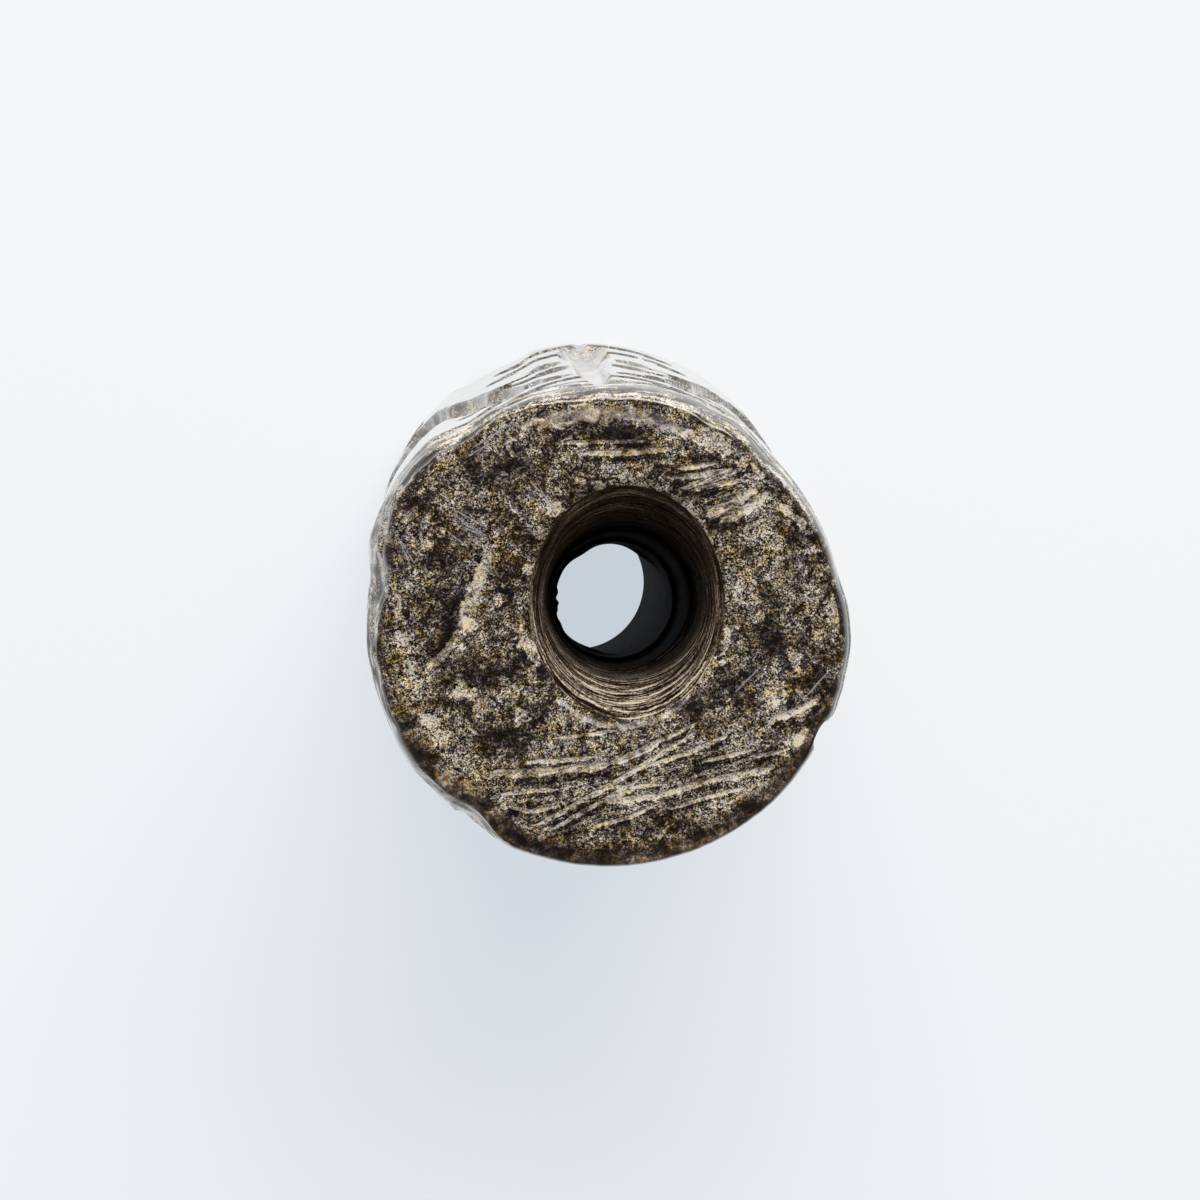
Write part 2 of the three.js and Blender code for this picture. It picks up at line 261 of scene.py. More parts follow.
OCHRE_PX = (
    ((705, 503), 0.4, 0.24, -5, 1.0, 0.03),
    ((556, 523), 0.4, 0.35, 0, 0.7, 0.0),
    ((529, 507), 0.4, 0.4, 0, 0.6, 0.0),
    ((402, 690), 1.0, 1.6, 0, 0.55, 0.0),
    ((425, 760), 1.2, 1.2, 0, 0.5, 0.0),
    ((800, 680), 0.7, 0.9, 20, 0.6, 0.0),
    ((455, 455), 0.7, 0.25, 40, 0.8, 0.0),
    ((610, 405), 1.6, 0.22, 3, 0.8, 0.0),
    ((445, 508), 0.5, 0.5, 0, 0.8, 0.0),
    ((484, 778), 0.7, 0.5, 0, 0.6, 0.0),
    ((760, 840), 1.2, 0.5, 20, 0.4, 0.0),
    ((640, 842), 2.0, 0.5, 0, 0.5, 0.0),
    ((735, 560), 0.5, 0.9, 20, 0.6, 0.0),
    ((590, 400), 1.0, 0.2, 5, 0.7, 0.0),
    ((500, 560), 0.6, 0.9, -15, 0.6, 0.0),
    ((680, 465), 0.6, 0.2, 5, 0.7, 0.0),
)
DARK_PX = (
    ((500, 462), 1.6, 0.9, 30, 0.8, 0.0),
    ((790, 640), 1.2, 1.5, 0, 0.55, 0.0),
    ((780, 600), 0.9, 0.8, 0, 0.35, 0.0),
    ((452, 590), 0.9, 1.1, -20, 0.5, 0.0),
    ((425, 500), 1.3, 0.5, 30, 0.6, 0.0),
    ((403, 560), 0.35, 1.4, 0, 0.6, 0.0),
    ((625, 434), 1.35, 0.45, 0, 0.7, 0.0),
    ((590, 470), 1.8, 0.5, 0, 0.4, 0.0),
    ((470, 670), 2.0, 0.6, 10, 0.5, 0.0),
    ((500, 745), 2.4, 0.7, 0, 0.45, 0.0),
    ((484, 806), 0.7, 0.8, 20, 1.0, 0.0),
    ((430, 790), 0.5, 1.0, 40, 0.7, 0.0),
    ((545, 848), 2.2, 0.4, -8, 0.8, 0.0),
    ((640, 852), 2.6, 0.35, 0, 0.8, 0.0),
    ((735, 825), 2.2, 0.5, 30, 0.75, 0.0),
    ((560, 690), 0.7, 0.9, 30, 0.45, 0.0),
    ((700, 700), 1.6, 0.6, 20, 0.5, 0.0),
    ((745, 690), 1.0, 0.8, 0, 0.4, 0.0),
    ((690, 450), 0.9, 0.3, 10, 0.5, 0.0),
    ((720, 471), 0.8, 0.12, 12, 0.8, 0.0),
    ((712, 486), 0.7, 0.1, 14, 0.8, 0.0),
    ((745, 478), 0.5, 0.2, 20, 0.6, 0.0),
    ((660, 418), 1.0, 0.25, -15, 0.5, 0.0),
    ((590, 778), 1.2, 0.12, 5, 0.7, 0.0),
    ((700, 770), 0.9, 0.12, 12, 0.6, 0.0),
)

# Bands where the stone is worn smooth, made paler partly as a painted sheen, and thin grooves along the
# rim's crease, painted dark as painted shade
WORN_SHEEN_PX = (
    (
        ((515, 428), (533, 424), (560, 418), (590, 415), (620, 414), (647, 417), (675, 427), (697, 438)),
        0.42,
        0,
    ),
    (((555, 699), (580, 717), (601, 725), (628, 727), (655, 722), (678, 709), (695, 690)), 0.17, 0),
)
CREASE_SHADE_PX = (
    (((846.9, 595), (847.4, 633), (845, 664), (836.6, 698), (824.4, 728)), 0.05, 0.05),
    (((815, 737), (808, 750), (801, 765)), 0.05, 0.03),
)
LINES_PX = {
    "scratch": SCRATCHES_PX,
    "hair": [(pixels, 0.036, 0.01) for pixels in HAIRLINE_GLINTS_PX],
    "worn": WORN_SHEEN_PX,
    "crack": CREASE_SHADE_PX,
}
RUBBED_PX = ((640, 782), 7.2, 2.2, 14)
RUBBED_UPPER_PX = ((735, 485), 2.8, 1.8, 18)

# Worn lines and ledges round the wall below the upper rim:
# angle, how far down, half length, half height, depth and lean
RIM_LINES = (
    (351, 0.7, 4.2, 0.24, 0.17, 0),
    (30, 1.1, 6.0, 0.2, 0.08, 1.5),
    (52, 1.7, 5.5, 0.22, 0.1, -1),
    (76, 2.2, 4.0, 0.24, 0.12, 2),
    (95, 2.7, 6.0, 0.2, 0.12, 0),
    (112, 1.5, 5.0, 0.25, 0.14, 1),
    (140, 0.8, 6.5, 0.34, 0.22, 2),
    (136, 2.4, 7.0, 0.25, 0.2, -2),
    (163, 1.4, 3.0, 0.3, 0.2, 4),
    (184, 0.8, 4.2, 0.28, 0.15, 3),
    (186, 1.7, 4.0, 0.3, 0.18, -3),
    (190, 2.8, 5.0, 0.3, 0.14, 2),
    (231, 0.7, 2.4, 0.2, 0.13, 5),
    (233, 1.4, 2.2, 0.2, 0.1, -4),
    (230, 2.3, 3.2, 0.22, 0.06, 0),
    (272, 1.3, 8.0, 0.16, 0.04, 0),
    (310, 1.0, 4.0, 0.16, 0.05, 1),
)


def camera_turn():
    """The camera's axes as columns, from where the drum's own axis vanishes in the picture."""
    half = PHOTO_SIDE / 2
    away = Vector((AXIS_VANISHING_PX[0] - half, half - AXIS_VANISHING_PX[1], -FOCAL_PX))
    z_axis = -away.normalized()
    x_axis = (Vector((1, 0, 0)) - z_axis * z_axis.x).normalized()
    y_axis = z_axis.cross(x_axis)
    return Matrix((x_axis, y_axis, z_axis))


def camera_place():
    half = PHOTO_SIDE / 2
    seen = Vector((UPPER_END_PX[0] - half, half - UPPER_END_PX[1], -FOCAL_PX)) / PX_PER_MM
    return Vector((0, 0, SEAL_HEIGHT)) - camera_turn() @ seen


def on_end(pixel):
    """Where a pixel of the photograph falls on the plane of the upper end."""
    half = PHOTO_SIDE / 2
    ray = camera_turn() @ Vector((pixel[0] - half, half - pixel[1], -FOCAL_PX))
    place = camera_place()
    place = place + ray * ((SEAL_HEIGHT - place.z) / ray.z)
    return np.array(place[:2])


def add_camera():
    lens = bpy.data.cameras.new("camera")
    lens.sensor_width = SENSOR
    lens.lens = FOCAL_PX / PHOTO_SIDE * SENSOR
    lens.clip_start = 0.01
    lens.clip_end = 10
    camera = bpy.data.objects.new("camera", lens)
    camera.matrix_world = Matrix.Translation(camera_place() * MM) @ camera_turn().to_4x4()
    bpy.context.scene.collection.objects.link(camera)
    bpy.context.scene.camera = camera


def add_softbox(name, place, aim, size, watts, colour):
    light = bpy.data.lights.new(name, "AREA")
    light.shape = "RECTANGLE"
    light.size, light.size_y = (side * MM for side in size)
    light.energy = watts
    light.color = colour
    lamp = bpy.data.objects.new(name, light)
    lamp.location = Vector(place) * MM
    lamp.rotation_euler = (Vector(aim) - Vector(place)).to_track_quat("-Z", "Y").to_euler()
    bpy.context.scene.collection.objects.link(lamp)


def add_surroundings():
    """A pale room, bright towards its walls and darker overhead."""
    world = bpy.data.worlds.new("studio")
    world.use_nodes = True
    nodes = world.node_tree.nodes
    links = world.node_tree.links
    direction = nodes.new("ShaderNodeTexCoord").outputs["Generated"]
    split = nodes.new("ShaderNodeSeparateXYZ")
    links.new(direction, split.inputs[0])
    strength = nodes.new("ShaderNodeMapRange")
    for name, value in (("From Min", 0.0), ("From Max", 1.0), ("To Min", 0.42), ("To Max", 0.12)):
        strength.inputs[name].default_value = value
    links.new(split.outputs["Z"], strength.inputs["Value"])
    background = nodes["Background"]
    background.inputs["Color"].default_value = (1.0, 0.98, 0.96, 1)
    links.new(strength.outputs["Result"], background.inputs["Strength"])
    bpy.context.scene.world = world


def add_floor():
    """A pale backlit table that the seal stands on."""
    mesh = bpy.data.meshes.new("floor")
    form = bmesh.new()
    bmesh.ops.create_grid(form, x_segments=1, y_segments=1, size=1500 * MM)
    form.to_mesh(mesh)
    form.free()
    floor = bpy.data.objects.new("floor", mesh)
    bpy.context.scene.collection.objects.link(floor)
    paper = bpy.data.materials.new("backlit paper")
    paper.use_nodes = True
    shader = paper.node_tree.nodes["Principled BSDF"]
    shader.inputs["Base Color"].default_value = (0.39, 0.355, 0.31, 1)
    shader.inputs["Roughness"].default_value = 1.0
    shader.inputs["Specular IOR Level"].default_value = 0.0
    shader.inputs["Emission Color"].default_value = (0.55, 0.61, 0.67, 1)
    shader.inputs["Emission Strength"].default_value = 1.035
    mesh.materials.append(paper)


def wave(places, size, seed=0.0):
    """Smooth random heights from -1 to 1 at each place, with swells about size wide."""
    shifted = np.asarray(places) / size + (seed, 2.3 * seed, -1.7 * seed)
    return np.array([noise.noise(Vector(place)) for place in shifted])


def smooth(value, low, high):
    t = np.clip((value - low) / (high - low), 0, 1)
    return t * t * (3 - 2 * t)


def degrees_from(angle, middle):
    """How many degrees each angle lies from the middle one, from -180 to 180."""
    return (np.degrees(angle) - middle + 540) % 360 - 180


class Cut:
    """A bowl sunk into the wall: where it lies round and up the drum, its reach, depth and lean."""

    def __init__(self, angle, height, half_length, half_width, depth, lean=0.0):
        self.angle = angle
        self.height = height
        self.half_length = half_length
        self.half_width = half_width
        self.depth = depth
        self.lean = math.radians(lean)

    def sink(self, angle, height):
        around = np.radians(degrees_from(angle, self.angle)) * SEAL_RADIUS
        up = height - self.height
        along = around * math.cos(self.lean) + up * math.sin(self.lean)
        across = up * math.cos(self.lean) - around * math.sin(self.lean)
        inside = 1 - (along / self.half_length) ** 2 - (across / self.half_width) ** 2
        inside = np.clip(inside, 0, None)
        return self.depth * inside * (2 - inside)


# The frieze. Places and lengths along the wall are shares of the seal's height.
BODY_DEPTH = 1.15
LIMB_DEPTH = 0.62
LINE_DEPTH = 0.45
DOT_DEPTH = 0.6
TREE_ANGLE = 92
STANDARD_ANGLE = 272
GOAT_FROM_TREE = 37
FILLER_ANGLES = (2, 182)


class Board:
    """Where a figure is drawn on the wall, with x to the right of its middle. facing -1 turns it round."""

    def __init__(self, angle, facing=1):
        self.angle = angle
        self.facing = facing
        self.cuts = []

    def oval(self, x, z, half_length, half_width, depth, lean):
        around = math.degrees(self.facing * x * SEAL_HEIGHT / SEAL_RADIUS)
        lean = lean if self.facing > 0 else 180 - lean
        reach = (half_length * SEAL_HEIGHT, half_width * SEAL_HEIGHT)
        self.cuts.append(Cut(self.angle + around, z * SEAL_HEIGHT, *reach, depth, lean))

    def stroke(self, start, end, width, depth=LIMB_DEPTH):
        (x0, z0), (x1, z1) = start, end
        reach = math.hypot(x1 - x0, z1 - z0) / 2 + width / 2
        lean = math.degrees(math.atan2(z1 - z0, x1 - x0))
        self.oval((x0 + x1) / 2, (z0 + z1) / 2, reach, width / 2, depth, lean)

    def dot(self, x, z, radius):
        self.oval(x, z, radius, radius, DOT_DEPTH, 0)


def tree(angle, trunk_reach, pairs):
    board = Board(angle)
    rise = 0.07
    board.oval(0, 0.5, trunk_reach, 0.023, LIMB_DEPTH, 90)
    board.oval(0, 0.24, 0.2, 0.036, LIMB_DEPTH * 1.3, 90)
    for side in (-1, 1):
        for height, reach in pairs:
            board.stroke((side * 0.015, height), (side * reach, height + rise), 0.036)
            board.dot(side * (reach + 0.012), height + rise + 0.028, 0.022)
    return board.cuts


def horn(board):
    middle = (0.015, 0.8)
    sweep, first, last, pieces = 0.098, 175, 25, 8

    def point(share):
        turn = math.radians(first + (last - first) * share)
        return middle[0] + sweep * math.cos(turn), middle[1] + sweep * math.sin(turn)

    for piece in range(pieces):
        width = 0.042 - 0.018 * piece / pieces
        board.stroke(point(piece / pieces), point((piece + 1) / pieces), width, LINE_DEPTH * 1.2)


def goat(angle, facing):
    """A goat reared up on its hind legs, drawn with its head and forelegs to the left."""
    board = Board(angle, facing)
    limb = 0.036
    board.oval(0.035, 0.405, 0.15, 0.072, BODY_DEPTH, 116)
    board.oval(0.085, 0.29, 0.08, 0.074, BODY_DEPTH * 1.05, 100)
    board.oval(-0.02, 0.515, 0.08, 0.07, BODY_DEPTH, 95)
    board.oval(-0.05, 0.645, 0.11, 0.044, BODY_DEPTH * 0.75, 110)
    board.oval(-0.105, 0.755, 0.062, 0.036, BODY_DEPTH * 0.7, 28)
    board.dot(-0.152, 0.728, 0.019)
    for start, knee, hoof in (
        ((-0.05, 0.555), (-0.135, 0.6), (-0.16, 0.52)),
        ((-0.045, 0.485), (-0.13, 0.475), (-0.15, 0.395)),
        ((0.055, 0.175), (0.1, 0.12), (0.075, 0.04)),
        ((0.13, 0.175), (0.17, 0.12), (0.15, 0.04)),
    ):
        board.stroke(start, knee, limb)
        board.stroke(knee, hoof, limb)
    board.oval(0.065, 0.225, 0.062, 0.038, LIMB_DEPTH * 1.3, 78)
    board.oval(0.125, 0.22, 0.06, 0.034, LIMB_DEPTH * 1.2, 96)
    board.stroke((0.125, 0.335), (0.165, 0.39), 0.03, LINE_DEPTH)
    board.stroke((-0.065, 0.755), (-0.02, 0.735), 0.03, LINE_DEPTH)
    board.stroke((-0.125, 0.72), (-0.115, 0.68), 0.022, LINE_DEPTH)
    horn(board)
    return board.cuts


def filler(angle):
    """A star over a crescent and a column of drill holes."""
    board = Board(angle)
    rays, crescent_pieces = 3, 8
    for ray in range(rays):
        board.oval(0, 0.84, 0.065, 0.016, LINE_DEPTH, 90 + ray * 180 / rays)

    def crescent(share):
        turn = math.radians(200 + 140 * share)
        return 0.062 * math.cos(turn), 0.68 + 0.062 * math.sin(turn)

    for piece in range(crescent_pieces):
        ends = (crescent(end / crescent_pieces) for end in (piece, piece + 1))
        board.stroke(*ends, 0.032, LINE_DEPTH)
    for height in (0.12, 0.21, 0.3, 0.39):
        board.dot(0, height, 0.022)
    return board.cuts


def frieze():
    cuts = tree(TREE_ANGLE, 0.52, ((0.06, 0.1), (0.2, 0.115), (0.8, 0.08)))
    cuts += tree(STANDARD_ANGLE, 0.44, ((0.12, 0.1), (0.8, 0.075)))
    for middle in (TREE_ANGLE, STANDARD_ANGLE):
        cuts += goat(middle + GOAT_FROM_TREE, 1)
        cuts += goat(middle - GOAT_FROM_TREE, -1)
    for angle in FILLER_ANGLES:
        cuts += filler(angle)
    return cuts


def chips():
    """Old breaks in the two rims: angle, half width round the rim, half height and depth."""
    upper = ((333, 0.8, 4.5, 0.42),)
    lower = ((73, 1.5, 0.8, 0.45), (205, 2.5, 1.3, 0.8), (300, 1.7, 0.9, 0.6))
    cuts = [Cut(angle, SEAL_HEIGHT, *reach) for angle, *reach in upper]
    return cuts + [Cut(angle, 0, *reach) for angle, *reach in lower]


def rim_lines():
    return [
        Cut(angle, SEAL_HEIGHT - down, half_length, half_height, depth, lean)
        for angle, down, half_length, half_height, depth, lean in RIM_LINES
    ]


def deepest(cuts, angle, height):
    depth = np.zeros_like(angle)
    for cut in cuts:
        depth = np.maximum(depth, cut.sink(angle, height))
    return depth


def lobed(lobes, angle):
    """The rise of the lobes at each angle."""
    rise = np.zeros_like(angle)
    for middle, spread, height in lobes:
        rise += height * smooth(spread - np.abs(degrees_from(angle, middle)), 0, spread / 2)
    return rise


def wall_radius(angle, height):
    up = height / SEAL_HEIGHT
    off_round = up * lobed(UPPER_LOBES, angle) + (1 - up) * lobed(FOOT_LOBES, angle)
    return SEAL_RADIUS - WAIST_HOLLOW * np.sin(np.pi * up) + off_round


def rim_inset(angle):
    """How far the flat of the upper end lies in from the wall at each angle, with a worn, uneven edge."""
    places, insets = zip(*RIM_INSETS)
    turns = (np.degrees(angle)[:, None] + (-3, -1, 1, 3)) % 360
    inset = np.interp(turns, places, insets, period=360).mean(axis=1)
    round_rim = np.stack((np.cos(angle), np.sin(angle), 0 * angle), axis=1) * SEAL_RADIUS
    return inset * (1 + 0.1 * wave(round_rim, 0.9, 3)) + 0.03 * wave(round_rim, 0.35, 5)


def round_drum(angle, height):
    return np.stack((np.cos(angle), np.sin(angle), height / SEAL_RADIUS), axis=1) * SEAL_RADIUS


def in_zones(angle, zones):
    """How far inside any of the zones each angle lies, from 0 to the zone's strength."""
    share = np.zeros_like(angle)
    for middle, spread, softness, strength in zones:
        inside = smooth(spread - np.abs(degrees_from(angle, middle)), 0, softness)
        share = np.maximum(share, strength * inside)
    return share


def rim_wear(angle, height, turn):
    """How far the broken stretches of the upper rim are sunk in ledges and stripes, and how rough
    they are."""
    near_rim = smooth(height, SEAL_HEIGHT - 6, SEAL_HEIGHT - 3) * smooth(turn, 0.1, 0.5)
    rough = in_zones(angle, RIM_BREAKS) * near_rim
    at_edge = 1 - 0.8 * smooth(turn, 1.0, 1.5)
    stretched = round_drum(angle, height) * (0.14, 0.14, 1.0)
    ledges = np.abs(wave(stretched, 1.1, 12)) * 0.3 + np.abs(wave(stretched, 0.5, 17)) * 0.14
    ring = round_drum(angle, 0 * height)
    stripe = STRIPES * np.sin(turn) + 0.7 * wave(ring, 3.1, 81) + 0.25 * wave(ring, 0.9, 83)
    stripe = 2 * np.pi * stripe
    sunk = ledges + STRIPE_DEPTH * (0.5 - 0.5 * np.cos(stripe))
    return sunk * rough * at_edge, rough * (0.25 + 0.75 * smooth(-np.sin(stripe), 0, 0.5))


def rim_crumb(angle, height):
    """The rise of the crumb of stone below the upper rim."""
    middle, down, reach, rise = RIM_CRUMB
    around = np.radians(degrees_from(angle, middle)) * SEAL_RADIUS
    away = np.hypot(around, SEAL_HEIGHT - down - height)
    return rise * np.exp(-((away / reach) ** 2))


def on_wall(angle, level):
    """Places on the wall and its rims, and what the finish needs to know there.

    level is a height on the spun block, whose upper rim takes up the top RIM_SPAN."""
    inset = rim_inset(angle)
    drop = RIM_FALL * inset
    turn = np.clip((SEAL_HEIGHT - level) / RIM_SPAN, 0, 1) * math.pi / 2
    below = SEAL_HEIGHT - RIM_SPAN - level
    settling = level + (RIM_SPAN - drop) * np.clip(1 - below / RIM_SETTLES, 0, 1)
    height = np.where(below < 0, SEAL_HEIGHT - drop * (1 - np.cos(turn)), settling)
    worn = inset * (1 - np.sin(turn))
    foot_gone = np.clip(1 - height / FOOT_ROUNDING, 0, 1)
    worn = np.maximum(worn, FOOT_ROUNDING * (1 - np.sqrt(1 - foot_gone * foot_gone)))

    engraved = deepest(frieze(), angle, height)
    broken = deepest(chips(), angle, height)
    lines = deepest(rim_lines(), angle, height)
    around = round_drum(angle, height)
    grain = np.abs(wave(around, 1.1, 4)) * 0.1 + np.abs(wave(around, 0.4, 9)) * 0.05
    broken = broken + grain * smooth(broken, 0.02, 0.3)
    radius = wall_radius(angle, height) - np.maximum(np.maximum(engraved, broken), worn)

    sunk, rough = rim_wear(angle, height, turn)
    swells = wave(around, 2.6, 21) * 0.035 + wave(around, 0.9, 23) * 0.014
    radius = radius - lines * smooth(turn, 0.1, 0.5) - sunk + rim_crumb(angle, height)
    radius = radius - np.clip(swells - 0.01, 0, None) * smooth(turn, 0.2, 1.0)

    # Nothing stands past the solid's box.
    places = np.stack((radius * np.cos(angle), radius * np.sin(angle), height), axis=1)
    places = np.clip(places, LOW, HIGH)
    # Painted sheen: the rim is marked paler where it faces the lamp or the room, and along the worn rim
    # lines.
    silky = in_zones(angle, PAINTED_SHEEN_RIMS) * smooth(height, SEAL_HEIGHT - 5, SEAL_HEIGHT - 2)
    silky = np.maximum(silky, smooth(lines, 0.03, 0.1)) * smooth(turn, 0.05, 0.4)
    broken = np.maximum(smooth(broken, 0.02, 0.15), rough)
    marks = {"engraved": engraved, "broken": broken, "silky": silky}
    return places, marks, np.clip(turn / (math.pi / 2), 0, 1)


def bore_crumbs(angle, height):
    """Small lumps left at the waist, where the two drillings met."""
    at_waist = np.exp(-(((height - WAIST_HEIGHT) / 0.6) ** 2))
    lumps = np.zeros_like(angle)
    for middle, spread, rise in WAIST_CRUMBS:
        lumps += rise * np.exp(-((degrees_from(angle, middle) / spread) ** 2))
    return lumps * at_waist


def in_bore(angle, height):
    """Places on the bore's wall at those angles and heights."""
    middle_x = np.interp(height, BORE_HEIGHTS, BORE_MIDDLE_X)
    middle_y = np.interp(height, BORE_HEIGHTS, BORE_MIDDLE_Y)
    half_x = np.interp(height, BORE_HEIGHTS, BORE_HALF_X)
    half_y = np.interp(height, BORE_HEIGHTS, BORE_HALF_Y)
    down = SEAL_HEIGHT - height
    steps = 0.0
    for start, full, gone, depth in DRILL_STEPS:
        steps = steps + depth * (smooth(down, start, full) - smooth(down, full, gone))
    hollow_flare = 0.16 * np.sin(np.pi * np.clip(down / FLARE, 0, 1))
    around = np.stack((np.cos(angle), np.sin(angle), 2.6 * height), axis=1)
    drill_rings = wave(around, 0.9, 31) * 0.05 * smooth(down, 0.1, 0.5)
    inwards = steps + bore_crumbs(angle, height) + hollow_flare + drill_rings
    x = middle_x + (half_x - inwards) * np.cos(angle)
    y = middle_y + (half_y - inwards) * np.sin(angle)
    return np.stack((x, y, height), axis=1)


def profile():
    """The stone's section as a closed loop of points. x runs from 1 in the bore to 2 on the wall."""
    waist = [WAIST_HEIGHT + step for step in (-2.5, -1.2, -0.5, 0, 0.5, 1.2, 2.5)]
    steps = [SEAL_HEIGHT - down for down in (14.1, 13.5, 10.5, 7.9, 7.3, 5.5, 4.0)]
    heights = [0, 2, 6, 11] + waist + steps
    bore = [(1, z) for z in heights]
    flare = [(1, z) for z in np.linspace(THROAT_HEIGHT, SEAL_HEIGHT, FLARE_RINGS, endpoint=False)]
    end = [(1 + share, SEAL_HEIGHT) for share in np.linspace(0, 1, FACE_RINGS, endpoint=False)]
    rim = [(2, SEAL_HEIGHT - down) for down in np.linspace(0, RIM_SPAN, RIM_RINGS, endpoint=False)]
    neck_top = SEAL_HEIGHT - RIM_SPAN
    neck_foot = neck_top - NECK_SPAN
    neck = [(2, z) for z in np.linspace(neck_top, neck_foot, NECK_RINGS, endpoint=False)]
    wall = [(2, z) for z in np.linspace(neck_foot, FOOT_ROUNDING, WALL_RINGS)]
    foot_rim = [
        (2, FOOT_ROUNDING * (1 - math.sin(math.radians(90 * step / FOOT_RIM_RINGS))))
        for step in range(1, FOOT_RIM_RINGS)
    ]
    foot = [(2 - share, 0) for share in np.linspace(0, 1, FOOT_RINGS, endpoint=False)]
    return bore + flare + end + rim + neck + wall + foot_rim + foot


def spun_block():
    """The section spun an eighth of a turn, then doubled three times round the axis."""
    doublings = 3
    wedge = 2 * math.pi / 2**doublings
    form = bmesh.new()
    points = [form.verts.new((x, 0, z)) for x, z in profile()]
    edges = [form.edges.new((a, b)) for a, b in zip(points, points[1:] + points[:1])]
    spin = {"cent": (0, 0, 0), "axis": (0, 0, 1), "angle": wedge, "steps": TURNS // 2**doublings}
    bmesh.ops.spin(form, geom=points + edges, use_merge=False, **spin)
    for doubling in range(doublings):
        copied = bmesh.ops.duplicate(form, geom=form.verts[:] + form.edges[:] + form.faces[:])
        corners = [part for part in copied["geom"] if isinstance(part, bmesh.types.BMVert)]
        turn = Matrix.Rotation(wedge * 2**doubling, 3, "Z")
        bmesh.ops.rotate(form, cent=(0, 0, 0), matrix=turn, verts=corners)
    bmesh.ops.remove_doubles(form, verts=form.verts, dist=1e-4)
    bmesh.ops.recalc_face_normals(form, faces=form.faces)
    mesh = bpy.data.meshes.new("seal_stone")
    form.to_mesh(mesh)
    form.free()
    return mesh


def beside_line(flat, pixels):
    """Where each place lies by a line through those pixels: millimetres to its left, share along it
    from -1 to 1, and millimetres off it."""
    points = [on_end(pixel) for pixel in pixels]
    total = sum(np.linalg.norm(b - a) for a, b in zip(points, points[1:]))
    side, along, off = np.zeros(len(flat)), np.zeros(len(flat)), np.full(len(flat), np.inf)
    done = 0.0
    for start, end in zip(points, points[1:]):
        length = np.linalg.norm(end - start)
        forward = (end - start) / length
        run = (flat - start) @ forward
        across = (flat - start) @ (-forward[1], forward[0])
        distance = np.hypot(across, np.maximum(np.maximum(-run, run - length), 0))
        closer = distance < off
        side = np.where(closer, across, side)
        along = np.where(closer, 2 * (done + run) / total - 1, along)
        off = np.where(closer, distance, off)
        done += length
    return side, along, off


def line_layers(flat, lines):
    """The lines as layers in which no two come close, and how far the lines dip.

    A layer gives each place its distance to the left of a line in half widths, its share along the
    line, and 1 where a line is near."""
    layers = []
    dip = np.zeros(len(flat))
    for pixels, half_width, depth in lines:
        side, along, off = beside_line(flat, pixels)
        near = off < 2.2 * half_width + 0.2
        layer = next((layer for layer in layers if not layer[near, 2].any()), None)
        if layer is None:
            layer = np.tile((9.0, 0.0, 0.0), (len(flat), 1))
            layers.append(layer)
        layer[near] = np.stack((side / half_width, along, np.ones(len(flat))), axis=1)[near]
        inside = np.clip(1.3 - np.abs(side / half_width), 0, 1) * (np.abs(along) < 1) * near
        dip = np.maximum(dip, depth * inside)
    return layers, dip


def in_patch(flat, warp, middle_px, half_width, half_height, lean):
    """How far inside a ragged patch each place lies, from 0 outside it to 1."""
    turn = math.radians(lean)
    away = flat - on_end(middle_px) + warp
    along = (away[:, 0] * math.cos(turn) + away[:, 1] * math.sin(turn)) / half_width
    across = (away[:, 1] * math.cos(turn) - away[:, 0] * math.sin(turn)) / half_height
    return smooth(1.25 - np.hypot(along, across), 0, 0.7)


def end_marks(flat):
    """What the finish follows on the upper end, and how far its relief dips there."""
    places = np.column_stack((flat, np.zeros(len(flat))))
    warp = np.column_stack((wave(places, 0.45, 41), wave(places, 0.45, 47))) * 0.3
    warp += np.column_stack((wave(places, 0.2, 43), wave(places, 0.2, 44))) * 0.16
    wide_warp = np.column_stack((wave(places, 1.3, 53), wave(places, 1.3, 57))) * 0.9
    marks = {name: np.zeros(len(flat)) for name in ("cream", "ochre", "dark", "rubbed")}
    dip = 0.035 * (1 + wave(places, 2.4, 61)) + 0.018 * (1 + wave(places, 0.8, 67))
    for name, patches, ragged in (
        ("cream", CREAM_PX, warp),
        ("ochre", OCHRE_PX, wide_warp),
        ("dark", DARK_PX, wide_warp * 0.6),
    ):
        for middle, half_width, half_height, lean, strength, depth in patches:
            inside = in_patch(flat, ragged, middle, half_width, half_height, lean)
            marks[name] = np.maximum(marks[name], strength * inside)
            dip += depth * inside
    for middle, half_width, half_height, lean in (RUBBED_PX, RUBBED_UPPER_PX):
        rubbed = in_patch(flat, wide_warp * 0.7, middle, half_width, half_height, lean)
        marks["rubbed"] = np.maximum(marks["rubbed"], rubbed)
    for kind, lines in LINES_PX.items():
        layers, line_dip = line_layers(flat + warp * 0.06, lines)
        dip += line_dip
        for count, layer in enumerate(layers):
            marks[f"{kind}_{count}"] = layer
    return marks, dip


